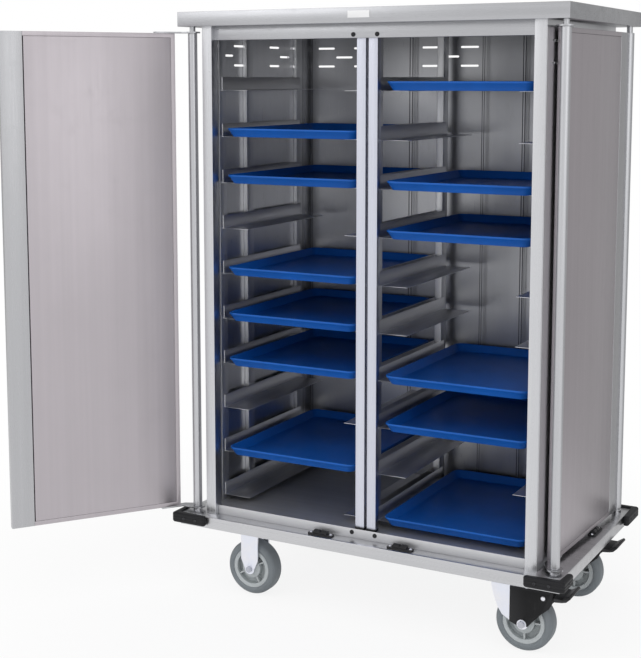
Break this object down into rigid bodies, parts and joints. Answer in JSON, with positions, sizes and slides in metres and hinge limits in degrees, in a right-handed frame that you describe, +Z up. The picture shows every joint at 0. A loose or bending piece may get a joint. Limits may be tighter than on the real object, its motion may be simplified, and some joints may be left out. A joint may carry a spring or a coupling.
{
  "type": "enclosed meal tray cart",
  "caption": "Enclosed stainless steel meal tray cart with two fold-back doors, slide-in tray racks, corner bumpers and braked casters.",
  "frame": {"origin": "on the floor, under the middle of the box round the whole cart as it stands with its left door open", "axes": "+X to the cart's right, +Y from its doors to its back, +Z up"},
  "size_m": [1.4498, 1.0274, 1.622],
  "materials": {
    "stainless": "fine brushed",
    "door_steel": "satin sheet",
    "rack_steel": "dull brushed",
    "zinc_steel": "bright zinc plate",
    "bare_plate": "satin",
    "black_steel": "satin black",
    "black_plastic": "moulded",
    "bumper_rubber": "moulded",
    "tray_blue": "fine grained",
    "tyre_grey": "satin",
    "hub_grey": "moulded"
  },
  "bodies": {
    "cart": {"chassis_pan": "stainless", "caster_rails": "stainless", "corner_bumpers": "bumper_rubber", "trim_screws": "zinc_steel", "side_wall_left": "stainless", "side_wall_right": "stainless", "back_wall": "stainless", "cabinet_floor": "rack_steel", "front_posts": "stainless", "header": "stainless", "mullions": "stainless", "mullion_feet": "black_plastic", "stop_buttons": "black_plastic", "roof_cap": "stainless", "roof_plate": "bare_plate", "corner_tubes": "stainless", "tube_pins": "stainless", "rack_uprights": "rack_steel", "rack_ledges": "rack_steel", "door_catches": "black_plastic", "rigid_forks": "zinc_steel", "rigid_axles": "zinc_steel", "swivel_plates": "zinc_steel", "caster_bolts": "zinc_steel"},
    "left_door": {"left_door_shell": "door_steel", "left_door_panel": "door_steel", "left_door_stile": "stainless", "left_hinge_arms": "stainless"},
    "right_door": {"right_door_shell": "door_steel", "right_door_panel": "door_steel", "right_door_stile": "stainless", "right_hinge_arms": "stainless"},
    "left_tray_2": {"tray_left_2": "tray_blue"},
    "left_tray_3": {"tray_left_3": "tray_blue"},
    "left_tray_5": {"tray_left_5": "tray_blue"},
    "left_tray_6": {"tray_left_6": "tray_blue"},
    "left_tray_7": {"tray_left_7": "tray_blue"},
    "left_tray_9": {"tray_left_9": "tray_blue"},
    "right_tray_1": {"tray_right_1": "tray_blue"},
    "right_tray_3": {"tray_right_3": "tray_blue"},
    "right_tray_4": {"tray_right_4": "tray_blue"},
    "right_tray_7": {"tray_right_7": "tray_blue"},
    "right_tray_8": {"tray_right_8": "tray_blue"},
    "right_tray_10": {"tray_right_10": "tray_blue"},
    "rigid_front_wheel": {"rigid_front_hub": "hub_grey", "rigid_front_tyre": "tyre_grey"},
    "front_swivel": {"swivel_front_yoke": "zinc_steel", "swivel_front_axle": "zinc_steel", "swivel_front_brake": "black_steel"},
    "front_swivel_wheel": {"swivel_front_hub": "hub_grey", "swivel_front_tyre": "tyre_grey"},
    "front_brake_pedal": {"swivel_front_pedal": "black_steel"},
    "rigid_rear_wheel": {"rigid_rear_hub": "hub_grey", "rigid_rear_tyre": "tyre_grey"},
    "rear_swivel": {"swivel_rear_yoke": "zinc_steel", "swivel_rear_axle": "zinc_steel", "swivel_rear_brake": "black_steel"},
    "rear_swivel_wheel": {"swivel_rear_hub": "hub_grey", "swivel_rear_tyre": "tyre_grey"},
    "rear_brake_pedal": {"swivel_rear_pedal": "black_steel"}
  },
  "joints": [
    {"name": "left_door_hinge", "type": "hinge", "parent": "cart", "child": "left_door", "pos_m": [-0.38384, -0.10152, 0.9], "axis": [0, 0, -1], "range_deg": [-126.3, 143.7]},
    {"name": "right_door_hinge", "type": "hinge", "parent": "cart", "child": "right_door", "pos_m": [0.67616, -0.10152, 0.9], "axis": [0, 0, 1], "range_deg": [-267.5, 2.5]},
    {"name": "left_tray_2_slide", "type": "slide", "parent": "cart", "child": "left_tray_2", "axis": [0, -1, 0], "range_m": [0, 0.52]},
    {"name": "left_tray_3_slide", "type": "slide", "parent": "cart", "child": "left_tray_3", "axis": [0, -1, 0], "range_m": [0, 0.52]},
    {"name": "left_tray_5_slide", "type": "slide", "parent": "cart", "child": "left_tray_5", "axis": [0, -1, 0], "range_m": [0, 0.52]},
    {"name": "left_tray_6_slide", "type": "slide", "parent": "cart", "child": "left_tray_6", "axis": [0, -1, 0], "range_m": [0, 0.52]},
    {"name": "left_tray_7_slide", "type": "slide", "parent": "cart", "child": "left_tray_7", "axis": [0, -1, 0], "range_m": [0, 0.52]},
    {"name": "left_tray_9_slide", "type": "slide", "parent": "cart", "child": "left_tray_9", "axis": [0, -1, 0], "range_m": [0, 0.52]},
    {"name": "right_tray_1_slide", "type": "slide", "parent": "cart", "child": "right_tray_1", "axis": [0, -1, 0], "range_m": [0, 0.52]},
    {"name": "right_tray_3_slide", "type": "slide", "parent": "cart", "child": "right_tray_3", "axis": [0, -1, 0], "range_m": [0, 0.52]},
    {"name": "right_tray_4_slide", "type": "slide", "parent": "cart", "child": "right_tray_4", "axis": [0, -1, 0], "range_m": [0, 0.52]},
    {"name": "right_tray_7_slide", "type": "slide", "parent": "cart", "child": "right_tray_7", "axis": [0, -1, 0], "range_m": [0, 0.52]},
    {"name": "right_tray_8_slide", "type": "slide", "parent": "cart", "child": "right_tray_8", "axis": [0, -1, 0], "range_m": [0, 0.52]},
    {"name": "right_tray_10_slide", "type": "slide", "parent": "cart", "child": "right_tray_10", "axis": [0, -1, 0], "range_m": [0, 0.52]},
    {"name": "rigid_front_wheel_roll", "type": "hinge", "parent": "cart", "child": "rigid_front_wheel", "pos_m": [-0.20884, -0.07552, 0.0762], "axis": [0, 1, 0], "continuous": true},
    {"name": "front_caster_swivel", "type": "hinge", "parent": "cart", "child": "front_swivel", "pos_m": [0.55816, -0.07552, 0.165], "axis": [0, 0, 1], "continuous": true},
    {"name": "front_swivel_wheel_roll", "type": "hinge", "parent": "front_swivel", "child": "front_swivel_wheel", "pos_m": [0.59616, -0.07552, 0.0762], "axis": [0, 1, 0], "continuous": true},
    {"name": "front_brake_press", "type": "hinge", "parent": "front_swivel", "child": "front_brake_pedal", "pos_m": [0.65116, -0.07552, 0.1542], "axis": [0, 1, 0], "range_deg": [0, 12]},
    {"name": "rigid_rear_wheel_roll", "type": "hinge", "parent": "cart", "child": "rigid_rear_wheel", "pos_m": [-0.20884, 0.33248, 0.0762], "axis": [0, 1, 0], "continuous": true},
    {"name": "rear_caster_swivel", "type": "hinge", "parent": "cart", "child": "rear_swivel", "pos_m": [0.55816, 0.33248, 0.165], "axis": [0, 0, 1], "continuous": true},
    {"name": "rear_swivel_wheel_roll", "type": "hinge", "parent": "rear_swivel", "child": "rear_swivel_wheel", "pos_m": [0.59616, 0.33248, 0.0762], "axis": [0, 1, 0], "continuous": true},
    {"name": "rear_brake_press", "type": "hinge", "parent": "rear_swivel", "child": "rear_brake_pedal", "pos_m": [0.65116, 0.33248, 0.1542], "axis": [0, 1, 0], "range_deg": [0, 12]}
  ]
}
